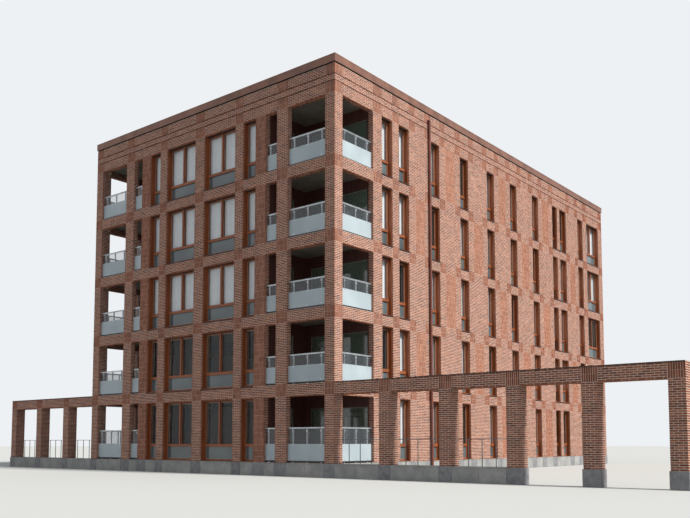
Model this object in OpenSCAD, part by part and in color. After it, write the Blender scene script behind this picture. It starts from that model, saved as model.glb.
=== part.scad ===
// Five-storey brick apartment block with open corner loggias and a brick colonnade.
// Millimetres, +Z up. Origin: centre of the block's footprint, on the ground.
// The front faces -Y and the colonnade runs along it to both sides.

/* [Brickwork] */
// Length of one brick with its joint
brick_step = 240; // [220:1:260]
// Height of three brick courses with their joints
gauge_h = 200; // [186:1:216]
// Thickness of a mortar joint
joint = 12; // [8:1:14]
// Thickness of the outer walls
wall_t = 420; // [360:5:480]
// Thickness of the brick grid in front of a loggia, one brick
grid_t = 228; // [200:1:260]

/* [Front layout, in half bricks] */
// Corner pier
corner_pier = 4; // [3:1:6]
// Wide opening of a corner loggia
loggia_bay = 16; // [12:1:20]
// Pier between two openings
pier = 5; // [4:1:6]
// Narrow opening of a corner loggia
slot_bay = 5; // [4:1:7]
// Narrow window
narrow_bay = 6; // [5:1:8]
// Slim pier between two windows
slim_pier = 4; // [3:1:5]
// Double window
double_bay = 16; // [12:1:20]
// Opening from which a window has two lights and a balustrade three posts
two_light_bay = 9; // [9:1:11]

/* [Side layout, in half bricks] */
// Wide stretch of wall between two narrow windows
wide_pier = 15; // [12:1:18]
// Window of two lights near the back of a side wall
broad_bay = 15; // [12:1:18]

/* [Heights] */
// Height of the granite plinth
plinth_h = 520; // [400:10:700]
// Number of storeys
storeys = 5; // [3:1:6]
// Courses in an opening on the ground floor
ground_courses = 38; // [34:1:42]
// Courses in an opening on an upper floor
opening_courses = 36; // [32:1:40]
// Courses in the band between two storeys
band_courses = 7; // [5:1:9]
// Courses from the top openings to the roof edge
attic_courses = 17; // [14:1:20]
// Courses above the upper groove
eaves_courses = 6; // [4:1:6]
// Thickness of a floor slab
slab_t = 220; // [180:5:300]
// Thickness of the roof slab
roof_slab_t = 300; // [240:10:400]
// Thickness of the roof covering
roofing_t = 120; // [60:10:200]

/* [Roof edge] */
// Height of the sheet-metal fascia
fascia_h = 302; // [200:1:400]
// Distance that the fascia stands out from the brickwork
fascia_out = 35; // [10:1:60]
// Height of the dark gap under the fascia
shadow_gap = 45; // [10:1:60]
// Distance that the gap is set back
shadow_set = 60; // [30:1:100]
// Height and depth of the two grooves below the fascia
groove = 14; // [8:1:20]

/* [Loggias] */
// Thickness of the clad walls at the back of a loggia
clad_wall_t = 300; // [200:10:360]
// Height of the doors and windows in a loggia
loggia_door_h = 2230; // [2050:10:2260]
// Width of the wide window in the back wall
loggia_window_w = 1740; // [1400:10:1900]
// Width of a door in a loggia
loggia_door_w = 960; // [800:10:1100]
// Width of the cladding between the wide window and the door
loggia_gap = 420; // [300:10:520]
// Distance from the front of the loggia's inner side wall to its door
loggia_door_set = 620; // [400:10:800]
// Width of the members of a loggia's door frame
door_frame_w = 75; // [55:1:100]
// Depth of a loggia's door frame
door_frame_d = 130; // [90:5:180]
// Distance from the front of a loggia's door frame to its glass
door_glass_set = 60; // [40:5:80]

/* [Windows] */
// Distance from the brick face to the timber casing
frame_set = 50; // [30:5:90]
// Depth of the casing
frame_d = 250; // [200:5:300]
// Thickness of the casing's boards
casing_t = 30; // [20:1:45]
// Distance from the front of the casing to the sash
sash_set = 160; // [120:5:180]
// Width of casing and sash together
frame_w = 90; // [70:1:110]
// Height of the transom over the dark panel
transom_h = 85; // [60:1:110]
// Distance from the front of the casing to the glass
glass_set = 190; // [185:1:210]
// Thickness of a glazing unit
glass_t = 32; // [20:1:40]
// Height of the dark glass panel's upper edge
panel_h = 620; // [450:10:800]

/* [Balustrades] */
// Height of an upper balustrade over the band
balustrade_h = 1155; // [950:5:1250]
// Height of a ground floor balustrade over the plinth
ground_balustrade_h = 1345; // [1100:5:1400]
// Height of the frosted glass
frosted_h = 720; // [500:10:800]
// Distance from the brick face to the balustrade
balustrade_set = 110; // [60:5:130]
// Section of the top rail
rail_s = 42; // [30:1:60]
// Section of the posts
post_s = 40; // [25:1:50]
// Thickness of the glass
balustrade_glass_t = 14; // [8:1:20]
// Distance from the brickwork to the first post of a wide balustrade
post_inset = 255; // [150:5:350]
// Distance from the inner brickwork to the post of a narrow balustrade
slot_post_inset = 160; // [100:5:250]
// Gap under the glass
foot_gap = 80; // [20:1:120]

/* [Colonnade] */
// Side of a square pier
column_s = 468; // [400:4:600]
// Distance from one pier to the next
column_pitch = 2465; // [2200:5:2700]
// Distance from the block to the first pier on the right
first_bay = 2030; // [1600:10:2100]
// Bays on the right
right_bays = 5; // [4:1:6]
// Bays on the left
left_bays = 3; // [2:1:5]
// Bays on the right that stand on the granite wall
walled_bays = 3; // [2:1:3]
// Distance that the granite stands out from the brickwork
granite_out = 20; // [10:1:40]
// Height of the railing over the granite wall
railing_h = 900; // [700:10:1100]
// Thickness of the railing's posts and rails
railing_s = 22; // [14:1:34]
// Distance between railing posts
railing_pitch = 500; // [400:10:800]

/* [Downpipes] */
// Diameter of a downpipe
pipe_d = 110; // [80:1:130]
// Clearance between the granite plinth and the foot of a downpipe
pipe_off = 5; // [2:1:40]
// Distance from the window before it to the middle of a downpipe
pipe_after = 1500; // [400:10:1600]
// Diameter of the stout foot of a downpipe
foot_d = 130; // [120:1:160]
// Height of the foot
foot_h = 1200; // [600:10:1800]

/* [Hidden] */

// How far a cut passes a face, and the sides of a round form
over = 1;
facets = 32;
// Openings of each loggia on the front and on the side
front_loggia_bays = 2;
side_loggia_bays = 1;

half_brick = brick_step / 2;
course = gauge_h / 3;
band_h = band_courses * course;
attic_h = attic_courses * course;

// Layouts: pier, opening, pier, opening and so on, in half bricks
front_half = [corner_pier, loggia_bay, pier, slot_bay, pier, narrow_bay, slim_pier, double_bay];
front_bays = concat(front_half, [pier], reversed(front_half));
side_bays = [
    corner_pier, loggia_bay, pier, narrow_bay, slim_pier, narrow_bay,
    wide_pier - 1, narrow_bay, wide_pier, narrow_bay, wide_pier, narrow_bay,
    wide_pier - 1, narrow_bay, wide_pier, narrow_bay, wide_pier, broad_bay,
    wide_pier - 1, narrow_bay, pier, broad_bay, pier
];
back_bays = front_bays;
last_back = (len(back_bays) - 3) / 2;
last_front = last_back - front_loggia_bays;
last_side = (len(side_bays) - 3) / 2;

block_w = wall_length(front_bays);
block_d = wall_length(side_bays);
eaves_z = head_z(storeys - 1) + attic_h;
fascia_z = eaves_z + shadow_gap;
roof_soffit_z = soffit_z(storeys - 1);
loggia_w = opening_to(front_bays, 1);
loggia_d = opening_to(side_bays, 0);
column_h = ground_courses * course;
walled_end = block_w / 2 + first_bay + (walled_bays - 1) * column_pitch + column_s;

function reversed(list) = [for (i = [len(list) - 1 : -1 : 0]) list[i]];
function total(list, n) = n <= 0 ? 0 : list[n - 1] + total(list, n - 1);
function wall_length(bays) = total(bays, len(bays)) * half_brick - joint;
function opening_from(bays, i) = total(bays, 2 * i + 1) * half_brick - joint;
function opening_to(bays, i) = total(bays, 2 * i + 2) * half_brick;
function opening_h(s) = (s == 0 ? ground_courses : opening_courses) * course;
function floor_z(s) = s == 0 ? plinth_h : floor_z(s - 1) + opening_h(s - 1) + band_h;
function head_z(s) = floor_z(s) + opening_h(s);
function soffit_z(s) = head_z(s) + band_h - slab_t;

// Each elevation is drawn along +X with its outer face at Y = 0, and then set in place
module on_front() { translate([-block_w / 2, -block_d / 2, 0]) children(); }
module on_back() { translate([block_w / 2, block_d / 2, 0]) rotate([0, 0, 180]) children(); }
module on_right() { translate([block_w / 2, -block_d / 2, 0]) rotate([0, 0, 90]) children(); }
module on_left() { mirror([1, 0, 0]) on_right() children(); }

// A box between two corners
module block(from, to) { translate(from) cube(to - from); }

// Two grooves that run along the brickwork below the roof edge
module grooves(length) {
    for (n = [band_courses, attic_courses - eaves_courses])
        block([-groove, -groove, head_z(storeys - 1) + n * course - groove / 2],
              [length + groove, groove, head_z(storeys - 1) + n * course + groove / 2]);
}

// A stretch of outer wall from one length to another, with its window openings
module outer_wall(from, to, bays, first, last) {
    difference() {
        block([from, 0, plinth_h], [to, wall_t, eaves_z]);
        for (s = [0 : storeys - 1], i = [first : last])
            block([opening_from(bays, i), -over, floor_z(s)],
                  [opening_to(bays, i), wall_t + over, head_z(s)]);
        grooves(wall_length(bays));
    }
}

// The rebate at the end of a wall, where a clad wall of the loggia meets it
module end_rebate(from, to) {
    block([from, grid_t, plinth_h - over], [to, wall_t + over, roof_soffit_z]);
}

module front_wall() {
    color("#8a4a3c") on_front() difference() {
        outer_wall(loggia_w, block_w - loggia_w, front_bays, front_loggia_bays, last_front);
        end_rebate(loggia_w - over, loggia_w + clad_wall_t);
        end_rebate(block_w - loggia_w - clad_wall_t, block_w - loggia_w + over);
    }
}

module side_wall() {
    difference() {
        outer_wall(loggia_d, block_d, side_bays, side_loggia_bays, last_side);
        end_rebate(loggia_d - over, loggia_d + clad_wall_t);
    }
}

module right_side_wall() { color("#b56b55") on_right() side_wall(); }

module left_side_wall() { color("#b56b55") on_left() side_wall(); }

module back_wall() {
    color("#8a4a3c") on_back()
        outer_wall(wall_t, block_w - wall_t, back_bays, 0, last_back);
}

// Corner pier and the pier between the two front openings of a loggia
module loggia_piers() {
    corner = corner_pier * half_brick - joint;
    difference() {
        union() {
            block([0, 0, plinth_h], [corner, corner, eaves_z]);
            block([opening_to(front_bays, 0), 0, plinth_h],
                  [opening_from(front_bays, 1), grid_t, eaves_z]);
        }
        grooves(block_w);
        mirror([1, -1, 0]) grooves(block_d);
    }
}

// Brick bands between the piers, one over each storey's openings
module loggia_bands() {
    for (s = [0 : storeys - 1]) {
        top = s == storeys - 1 ? eaves_z : floor_z(s + 1);
        difference() {
            union() {
                for (i = [0, 1])
                    block([opening_from(front_bays, i), 0, head_z(s)],
                          [opening_to(front_bays, i), grid_t, top]);
                block([0, opening_from(side_bays, 0), head_z(s)],
                      [grid_t, opening_to(side_bays, 0), top]);
            }
            grooves(block_w);
            mirror([1, -1, 0]) grooves(block_d);
        }
    }
}

// The left front corner, and its mirror image at the right front corner
module left_corner() { on_front() children(); }
module right_corner() { mirror([1, 0, 0]) on_front() children(); }

module right_loggia_piers() { color("#8a4a3c") right_corner() loggia_piers(); }

module right_loggia_bands() { color("#96523f") right_corner() loggia_bands(); }

module left_loggia_piers() { color("#8a4a3c") left_corner() loggia_piers(); }

module left_loggia_bands() { color("#96523f") left_corner() loggia_bands(); }

// Outline of a floor slab: inside the outer walls, and out to the grid at both front corners
module slab_outline() {
    corner = corner_pier * half_brick - joint;
    difference() {
        translate([-block_w / 2 + wall_t, -block_d / 2 + wall_t])
            square([block_w - 2 * wall_t, block_d - 2 * wall_t]);
        for (side = [-1, 1])
            translate([side * block_w / 2, -block_d / 2])
                square(2 * corner, center = true);
    }
    for (side = [0, 1]) mirror([side, 0]) translate([-block_w / 2, -block_d / 2]) difference() {
        union() {
            translate([grid_t, grid_t]) square([loggia_w + clad_wall_t - grid_t, wall_t - grid_t]);
            translate([grid_t, grid_t]) square([wall_t - grid_t, loggia_d + clad_wall_t - grid_t]);
        }
        translate([-over, -over]) square(corner + over);
    }
}

module floor_slabs() {
    color("#9c9c98") for (s = [1 : storeys - 1])
        translate([0, 0, floor_z(s) - slab_t]) linear_extrude(slab_t) slab_outline();
}

module roof_slab() {
    color("#9c9c98") translate([0, 0, roof_soffit_z]) linear_extrude(roof_slab_t) difference() {
        slab_outline();
        rebate_fill();
    }
}

module roof_covering() {
    color("#55565a") translate([0, 0, roof_soffit_z + roof_slab_t]) linear_extrude(roofing_t) difference() {
        slab_outline();
        rebate_fill();
    }
}

// Over the top storey the outer walls keep their full thickness beside the loggias
module rebate_fill() {
    for (side = [0, 1]) mirror([side, 0]) translate([-block_w / 2, -block_d / 2]) {
        translate([loggia_w, 0]) square([clad_wall_t + over, wall_t]);
        translate([0, loggia_d]) square([wall_t, clad_wall_t + over]);
    }
}

module ground_slab() {
    color("#9c9c98") linear_extrude(plinth_h) slab_outline();
}

// Granite ring under the outer walls and the grid
module granite_plinth() {
    color("#8f8f8f") linear_extrude(plinth_h) difference() {
        square([block_w + 2 * granite_out, block_d + 2 * granite_out], center = true);
        slab_outline();
    }
}

// Clad walls in the loggias, one plate a storey, with their openings
module loggia_back_walls() {
    color("#5a2f28") for (side = [0, 1], s = [0 : storeys - 1]) mirror([side, 0, 0]) on_front()
        difference() {
            block([grid_t, loggia_d, floor_z(s)], [loggia_w, loggia_d + clad_wall_t, soffit_z(s)]);
            for (span = [loggia_window, loggia_door])
                block([span[0], loggia_d - over, floor_z(s)],
                      [span[1], loggia_d + clad_wall_t + over, floor_z(s) + loggia_door_h]);
        }
}

loggia_window = [grid_t, grid_t + loggia_window_w];
loggia_door = [loggia_window[1] + loggia_gap, loggia_window[1] + loggia_gap + loggia_door_w];
inner_door = [grid_t + loggia_door_set, grid_t + loggia_door_set + loggia_door_w];

module loggia_side_walls() {
    color("#5a2f28") for (side = [0, 1], s = [0 : storeys - 1]) mirror([side, 0, 0]) on_front()
        difference() {
            block([loggia_w, grid_t, floor_z(s)],
                  [loggia_w + clad_wall_t, loggia_d + clad_wall_t, soffit_z(s)]);
            block([loggia_w - over, inner_door[0], floor_z(s)],
                  [loggia_w + clad_wall_t + over, inner_door[1], floor_z(s) + loggia_door_h]);
        }
}

// Sheet-metal roof edge: a body that stands out, on a strip that is set back
module fascia(from, to, mitre) {
    block([from - mitre * fascia_out, -fascia_out, fascia_z],
          [to + mitre * fascia_out, wall_t, fascia_z + fascia_h]);
    block([from + mitre * shadow_set, shadow_set, eaves_z],
          [to - mitre * shadow_set, wall_t, fascia_z]);
}

module front_fascia() { color("#7a4a3a") on_front() fascia(0, block_w, 1); }

module back_fascia() { color("#7a4a3a") on_back() fascia(0, block_w, 1); }

module side_fascias() {
    color("#7a4a3a") {
        on_right() fascia(wall_t, block_d - wall_t, 0);
        on_left() fascia(wall_t, block_d - wall_t, 0);
    }
}

// A window: a deep timber casing, and in it a sash of one or two lights over one dark panel
function is_wide(w) = w > (two_light_bay - 1) * half_brick;
function lights(w) = is_wide(w) ? 2 : 1;
function light_w(w) = (w - (lights(w) + 1) * frame_w) / lights(w);
function light_from(w, n) = frame_w + n * (light_w(w) + frame_w);

module window_frame(w, h) {
    difference() {
        block([0, 0, 0], [w, frame_d, h]);
        block([casing_t, -over, casing_t], [w - casing_t, sash_set, h - casing_t]);
        block([frame_w, -over, frame_w], [w - frame_w, frame_d + over, panel_h]);
        for (n = [0 : lights(w) - 1])
            block([light_from(w, n), -over, panel_h + transom_h],
                  [light_from(w, n) + light_w(w), frame_d + over, h - frame_w]);
    }
}

module window_glass(w, h) {
    for (n = [0 : lights(w) - 1])
        block([light_from(w, n), glass_set, panel_h + transom_h],
              [light_from(w, n) + light_w(w), glass_set + glass_t, h - frame_w]);
}

module window_panel(w, h) {
    block([frame_w, glass_set, frame_w], [w - frame_w, glass_set + glass_t, panel_h]);
}

// One part of every window of an elevation
module each_window(bays, first, last, part) {
    for (s = [0 : storeys - 1], i = [first : last]) {
        w = opening_to(bays, i) - opening_from(bays, i);
        translate([opening_from(bays, i), frame_set, floor_z(s)])
            if (part == "frame") window_frame(w, opening_h(s));
            else if (part == "glass") window_glass(w, opening_h(s));
            else window_panel(w, opening_h(s));
    }
}

module frame_colour() { color("#a8622f") children(); }
module glass_colour() { color("#9fb4bd", 0.6) children(); }
module panel_colour() { color("#2e3a44") children(); }

module front_windows(part) {
    on_front() each_window(front_bays, front_loggia_bays, last_front, part);
}
module front_window_frames() { frame_colour() front_windows("frame"); }
module front_window_glass() { glass_colour() front_windows("glass"); }
module front_window_panels() { panel_colour() front_windows("panel"); }

module side_windows(part) { each_window(side_bays, side_loggia_bays, last_side, part); }
module right_window_frames() { frame_colour() on_right() side_windows("frame"); }
module right_window_glass() { glass_colour() on_right() side_windows("glass"); }
module right_window_panels() { panel_colour() on_right() side_windows("panel"); }
module left_window_frames() { frame_colour() on_left() side_windows("frame"); }
module left_window_glass() { glass_colour() on_left() side_windows("glass"); }
module left_window_panels() { panel_colour() on_left() side_windows("panel"); }

module back_windows(part) { on_back() each_window(back_bays, 0, last_back, part); }
module back_window_frames() { frame_colour() back_windows("frame"); }
module back_window_glass() { glass_colour() back_windows("glass"); }
module back_window_panels() { panel_colour() back_windows("panel"); }

// Doors and windows in the loggias: a frame round one sheet of glass
module door_frame(w) {
    difference() {
        block([0, 0, 0], [w, door_frame_d, loggia_door_h]);
        block([door_frame_w, -over, door_frame_w],
              [w - door_frame_w, door_frame_d + over, loggia_door_h - door_frame_w]);
    }
}

module door_glass(w) {
    block([door_frame_w, door_glass_set, door_frame_w],
          [w - door_frame_w, door_glass_set + glass_t, loggia_door_h - door_frame_w]);
}

module each_loggia_door(part) {
    for (side = [0, 1], s = [0 : storeys - 1]) mirror([side, 0, 0]) on_front() {
        for (span = [loggia_window, loggia_door])
            translate([span[0], loggia_d, floor_z(s)])
                if (part == "frame") door_frame(span[1] - span[0]);
                else door_glass(span[1] - span[0]);
        translate([loggia_w, inner_door[0], floor_z(s)]) mirror([1, -1, 0])
            if (part == "frame") door_frame(loggia_door_w);
            else door_glass(loggia_door_w);
    }
}

module loggia_door_frames() { frame_colour() each_loggia_door("frame"); }

module loggia_door_glass() { glass_colour() each_loggia_door("glass"); }

// A balustrade between two piers, drawn along +X and standing on Z = 0
function guard_h(s) = s == 0 ? ground_balustrade_h : balustrade_h;
function guard_posts(w) = is_wide(w) ? [post_inset, w / 2, w - post_inset] : [w - slot_post_inset];

module guard(w, h, part) {
    if (part == "rail")
        block([0, balustrade_set, h - rail_s], [w, balustrade_set + post_s, h]);
    if (part == "post") for (x = guard_posts(w))
        block([x - post_s / 2, balustrade_set, 0], [x + post_s / 2, balustrade_set + post_s, h - rail_s]);
    if (part == "frosted")
        block([0, balustrade_set - balustrade_glass_t, foot_gap],
              [w, balustrade_set, frosted_h]);
    if (part == "clear")
        block([0, balustrade_set - balustrade_glass_t, frosted_h], [w, balustrade_set, h - rail_s]);
}

module each_guard(part) {
    for (side = [0, 1], s = [0 : storeys - 1]) mirror([side, 0, 0]) on_front() {
        for (i = [0, 1])
            translate([opening_from(front_bays, i), 0, floor_z(s)])
                guard(opening_to(front_bays, i) - opening_from(front_bays, i), guard_h(s), part);
        translate([0, opening_from(side_bays, 0), floor_z(s)]) mirror([1, -1, 0])
            guard(opening_to(side_bays, 0) - opening_from(side_bays, 0), guard_h(s), part);
    }
}

module balustrade_rails() { color("#c9ced2") each_guard("rail"); }

module balustrade_posts() { color("#c9ced2") each_guard("post"); }

module balustrade_frosted_glass() { color("#cfe0e2") each_guard("frosted"); }

module balustrade_clear_glass() { color("#bcd0d6", 0.5) each_guard("clear"); }

// Colonnade: places of its piers, from the block outwards
function right_column(n) = block_w / 2 + first_bay + n * column_pitch;
function left_column(n) = -block_w / 2 - (n + 1) * column_pitch;
front_y = -block_d / 2;

module colonnade_piers() {
    color("#8a4a3c") {
        for (n = [0 : right_bays - 1])
            block([right_column(n), front_y, plinth_h],
                  [right_column(n) + column_s, front_y + column_s, plinth_h + column_h]);
        for (n = [0 : left_bays - 1])
            block([left_column(n), front_y, plinth_h],
                  [left_column(n) + column_s, front_y + column_s, plinth_h + column_h]);
    }
}

module right_colonnade_beam() {
    color("#96523f")
        block([block_w / 2, front_y, plinth_h + column_h],
              [right_column(right_bays - 1) + column_s, front_y + column_s, plinth_h + column_h + band_h]);
}

module left_colonnade_beam() {
    color("#96523f")
        block([left_column(left_bays - 1), front_y, plinth_h + column_h],
              [-block_w / 2, front_y + column_s, plinth_h + column_h + band_h]);
}

// Granite: a low wall under the first bays, and a base under each free pier
module right_colonnade_granite() {
    color("#8f8f8f") {
        block([block_w / 2 + granite_out, front_y - granite_out, 0],
              [walled_end + granite_out, front_y + column_s + granite_out, plinth_h]);
        for (n = [walled_bays : right_bays - 1])
            block([right_column(n) - granite_out, front_y - granite_out, 0],
                  [right_column(n) + column_s + granite_out, front_y + column_s + granite_out, plinth_h]);
    }
}

module left_colonnade_granite() {
    color("#8f8f8f")
        block([left_column(left_bays - 1) - granite_out, front_y - granite_out, 0],
              [-block_w / 2 - granite_out, front_y + column_s + granite_out, plinth_h]);
}

// A railing between two piers, on the granite wall
module railing(from, to) {
    posts = max(1, round((to - from) / railing_pitch) - 1);
    y = front_y + column_s / 2 - railing_s / 2;
    block([from, y, plinth_h + railing_h - railing_s], [to, y + railing_s, plinth_h + railing_h]);
    for (n = [1 : posts]) {
        x = from + n * (to - from) / (posts + 1) - railing_s / 2;
        block([x, y, plinth_h], [x + railing_s, y + railing_s, plinth_h + railing_h - railing_s / 2]);
    }
}

module colonnade_railings() {
    color("#3b3b3b") {
        railing(block_w / 2, right_column(0));
        for (n = [1 : walled_bays - 1]) railing(right_column(n - 1) + column_s, right_column(n));
        railing(left_column(0) + column_s, -block_w / 2);
        for (n = [1 : left_bays - 1]) railing(left_column(n) + column_s, left_column(n - 1));
    }
}

// Downpipe on a side wall: a stout foot, the pipe, a bend into the wall and clips to the brickwork
module downpipe() {
    reach = granite_out + pipe_off + foot_d / 2;
    bend_z = eaves_z - attic_h / 4;
    translate([opening_to(side_bays, 2) + pipe_after, -reach, 0]) {
        cylinder(d = foot_d, h = foot_h, $fn = facets);
        translate([0, 0, foot_h]) cylinder(d = pipe_d, h = bend_z - foot_h, $fn = facets);
        translate([0, 0, bend_z]) sphere(d = pipe_d, $fn = facets);
        translate([0, 0, bend_z]) rotate([-90, 0, 0]) cylinder(d = pipe_d, h = reach, $fn = facets);
        for (s = [0 : storeys - 1])
            block([-reach / 4, 0, head_z(s)], [reach / 4, reach, head_z(s) + reach / 2]);
    }
}

module downpipes() {
    color("#3a2a26") {
        on_right() downpipe();
        on_left() downpipe();
    }
}

granite_plinth();
ground_slab();
floor_slabs();
roof_slab();
roof_covering();
front_wall();
right_side_wall();
left_side_wall();
back_wall();
right_loggia_piers();
right_loggia_bands();
left_loggia_piers();
left_loggia_bands();
loggia_back_walls();
loggia_side_walls();
front_fascia();
back_fascia();
side_fascias();
front_window_frames();
front_window_glass();
front_window_panels();
right_window_frames();
right_window_glass();
right_window_panels();
left_window_frames();
left_window_glass();
left_window_panels();
back_window_frames();
back_window_glass();
back_window_panels();
loggia_door_frames();
loggia_door_glass();
balustrade_rails();
balustrade_posts();
balustrade_frosted_glass();
balustrade_clear_glass();
colonnade_piers();
right_colonnade_beam();
left_colonnade_beam();
right_colonnade_granite();
left_colonnade_granite();
colonnade_railings();
downpipes();
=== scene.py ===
import math

import bpy
import numpy as np
from mathutils import Euler, Matrix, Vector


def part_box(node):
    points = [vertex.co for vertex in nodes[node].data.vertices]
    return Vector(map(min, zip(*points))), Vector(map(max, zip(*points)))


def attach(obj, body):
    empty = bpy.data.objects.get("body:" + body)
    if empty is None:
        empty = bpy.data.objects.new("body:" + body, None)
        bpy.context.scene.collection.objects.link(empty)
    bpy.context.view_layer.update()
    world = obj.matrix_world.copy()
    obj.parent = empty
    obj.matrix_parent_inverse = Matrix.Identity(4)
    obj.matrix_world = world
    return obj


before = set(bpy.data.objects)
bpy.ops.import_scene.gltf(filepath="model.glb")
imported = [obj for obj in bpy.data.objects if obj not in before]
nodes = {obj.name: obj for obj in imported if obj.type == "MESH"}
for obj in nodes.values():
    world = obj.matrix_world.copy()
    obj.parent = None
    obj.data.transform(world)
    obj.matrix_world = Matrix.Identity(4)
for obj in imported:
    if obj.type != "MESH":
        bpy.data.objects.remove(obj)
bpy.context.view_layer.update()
scene = bpy.context.scene
quarter = math.pi / 2
bpy.ops.object.select_all(action="DESELECT")


# Camera, at eye height off the corner of the block; metres and degrees

view = {
    "place": (26.530, -35.956, 1.298),
    "heading": 38.90,
    "tilt": 4.447,
    "lens": 42.28,
    "rise": 0.1745,     # upward shift, of the picture's width
    "film": 36,
    "far": 600,
}


def addCamera():
    turn = Euler((math.radians(90 + view["tilt"]), 0, math.radians(view["heading"])))
    bpy.ops.object.camera_add(location=view["place"], rotation=turn)
    camera = bpy.context.object
    camera.data.sensor_width = view["film"]
    camera.data.sensor_fit = "HORIZONTAL"
    camera.data.lens = view["lens"]
    camera.data.shift_y = view["rise"]
    camera.data.clip_end = view["far"]
    scene.camera = camera
    scene.view_settings.view_transform = "Standard"


# Materials

# A colour written as in a paint program, made linear
def fromHex(text):
    parts = [int(text[i:i + 2], 16) / 255 for i in (1, 3, 5)]
    linear = [c / 12.92 if c <= 0.04045 else ((c + 0.055) / 1.055) ** 2.4 for c in parts]
    return (*linear, 1.0)


# Adds a node with its settings, input values and links; a link is (node, output)
def addNode(tree, kind, settings=None, values=None, links=None):
    node = tree.nodes.new(kind)
    for name, value in (settings or {}).items():
        setattr(node, name, value)
    for name, value in (values or {}).items():
        node.inputs[name].default_value = value
    for name, (source, output) in (links or {}).items():
        tree.links.new(source.outputs[output], node.inputs[name])
    return node


# An empty material with its shader, and a link to the place on the object in metres
def newMaterial(name, **shine):
    material = bpy.data.materials.new(name)
    material.use_nodes = True
    tree = material.node_tree
    shader = tree.nodes["Principled BSDF"]
    for socket, value in shine.items():
        shader.inputs[socket].default_value = value
    place = addNode(tree, "ShaderNodeTexCoord")
    return material, tree, shader, {"Vector": (place, "Object")}


# A noise pattern with two tones over it
def toneNoise(tree, place, dark, pale, spread, noise):
    pattern = addNode(tree, "ShaderNodeTexNoise", values=noise, links=place)
    ramp = addNode(tree, "ShaderNodeValToRGB", links={"Fac": (pattern, "Fac")})
    first, last = ramp.color_ramp.elements
    first.position, last.position = 0.5 - spread, 0.5 + spread
    first.color, last.color = fromHex(dark), fromHex(pale)
    return pattern, ramp


# Lightens or darkens a colour by a pattern, by a share of it at most
def shade(tree, colour, pattern, share):
    factor = addNode(tree, "ShaderNodeMapRange", values={"To Min": 1 - share, "To Max": 1 + share},
                     links={"Value": pattern})
    mix = addNode(tree, "ShaderNodeMix", {"data_type": "RGBA", "blend_type": "MULTIPLY"}, {0: 1.0},
                  {6: colour, 7: (factor, "Result")})
    return mix, 2


# Makes each loose piece a little lighter or darker
def sortPieces(tree, colour, share):
    island = addNode(tree, "ShaderNodeNewGeometry")
    return shade(tree, colour, (island, "Random Per Island"), share)


# Gives the shader its colour, and a relief from a pattern
def cover(tree, shader, colour, pattern, strength, depth):
    relief = addNode(tree, "ShaderNodeBump", values={"Strength": strength, "Distance": depth},
                     links={"Height": (pattern, "Fac")})
    for (source, output), socket in ((colour, "Base Color"), ((relief, "Normal"), "Normal")):
        tree.links.new(source.outputs[output], shader.inputs[socket])


# Fired clay brick: every brick has its own tone from the kiln, a sanded face and a few scorched spots
def brickMaterial(name, tones):
    material, tree, shader, place = newMaterial(name, **{"Roughness": 0.9, "Specular IOR Level": 0.25})
    island = addNode(tree, "ShaderNodeNewGeometry")
    ramp = addNode(tree, "ShaderNodeValToRGB", links={"Fac": (island, "Random Per Island")})
    ramp.color_ramp.interpolation = "CONSTANT"
    stops = ramp.color_ramp.elements
    while len(stops) < len(tones):
        stops.new(0.5)
    for number, tone in enumerate(tones):
        stops[number].position = number / len(tones)
        stops[number].color = fromHex(tone)
    # About 30 mm; clouds of 2 m; sand, drawn coarse at 6 mm so that it shows
    scorch, weather, grit = [
        addNode(tree, "ShaderNodeTexNoise", values={"Scale": scale, "Detail": 3.0}, links=place)
        for scale in (34.0, 0.45, 160.0)]
    spotted = shade(tree, (ramp, "Color"), (scorch, "Fac"), 0.16)
    cover(tree, shader, shade(tree, spotted, (weather, "Fac"), 0.1), grit, 0.5, 0.003)
    return material


# A mineral surface: clouds of one size, grains of another; each loose slab a little lighter or darker
def stoneMaterial(name, dark, pale, cloud, grain, roughness, depth, slabs=0.0):
    material, tree, shader, place = newMaterial(name, **{"Roughness": roughness, "Specular IOR Level": 0.3})
    base = toneNoise(tree, place, dark, pale, 0.15,
                     {"Scale": 1 / cloud, "Detail": 5.0, "Roughness": 0.65})[1]
    grains = addNode(tree, "ShaderNodeTexNoise", values={"Scale": 1 / grain, "Detail": 2.0}, links=place)
    speckled = shade(tree, (base, "Color"), (grains, "Fac"), 0.28)
    cover(tree, shader, sortPieces(tree, speckled, slabs), grains, 0.4, depth)
    return material


# Hardwood under oil: grain along the member, dark pores, a low satin shine
def woodMaterial(name, dark, pale, roughness):
    material, tree, shader, place = newMaterial(name, Roughness=roughness)
    stretch = addNode(tree, "ShaderNodeMapping", values={"Scale": (30.0, 30.0, 1.5)},
                      links=place)      # 30 mm across, 700 mm along
    grain, base = toneNoise(tree, {"Vector": (stretch, "Vector")}, dark, pale, 0.18,
                            {"Scale": 1.0, "Detail": 5.0, "Roughness": 0.7, "Distortion": 0.6})
    cover(tree, shader, sortPieces(tree, (base, "Color"), 0.12), grain, 0.25, 0.001)
    return material


# Sheet or bar metal with a faint cloud in its finish, each sheet slightly different
def metalMaterial(name, dark, pale, metallic, roughness, cloud):
    material, tree, shader, place = newMaterial(name, Metallic=metallic, Roughness=roughness)
    clouds, base = toneNoise(tree, place, dark, pale, 0.15, {"Scale": 1 / cloud, "Detail": 4.0})
    cover(tree, shader, sortPieces(tree, (base, "Color"), 0.07), clouds, 0.15, 0.001)
    return material


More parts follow.
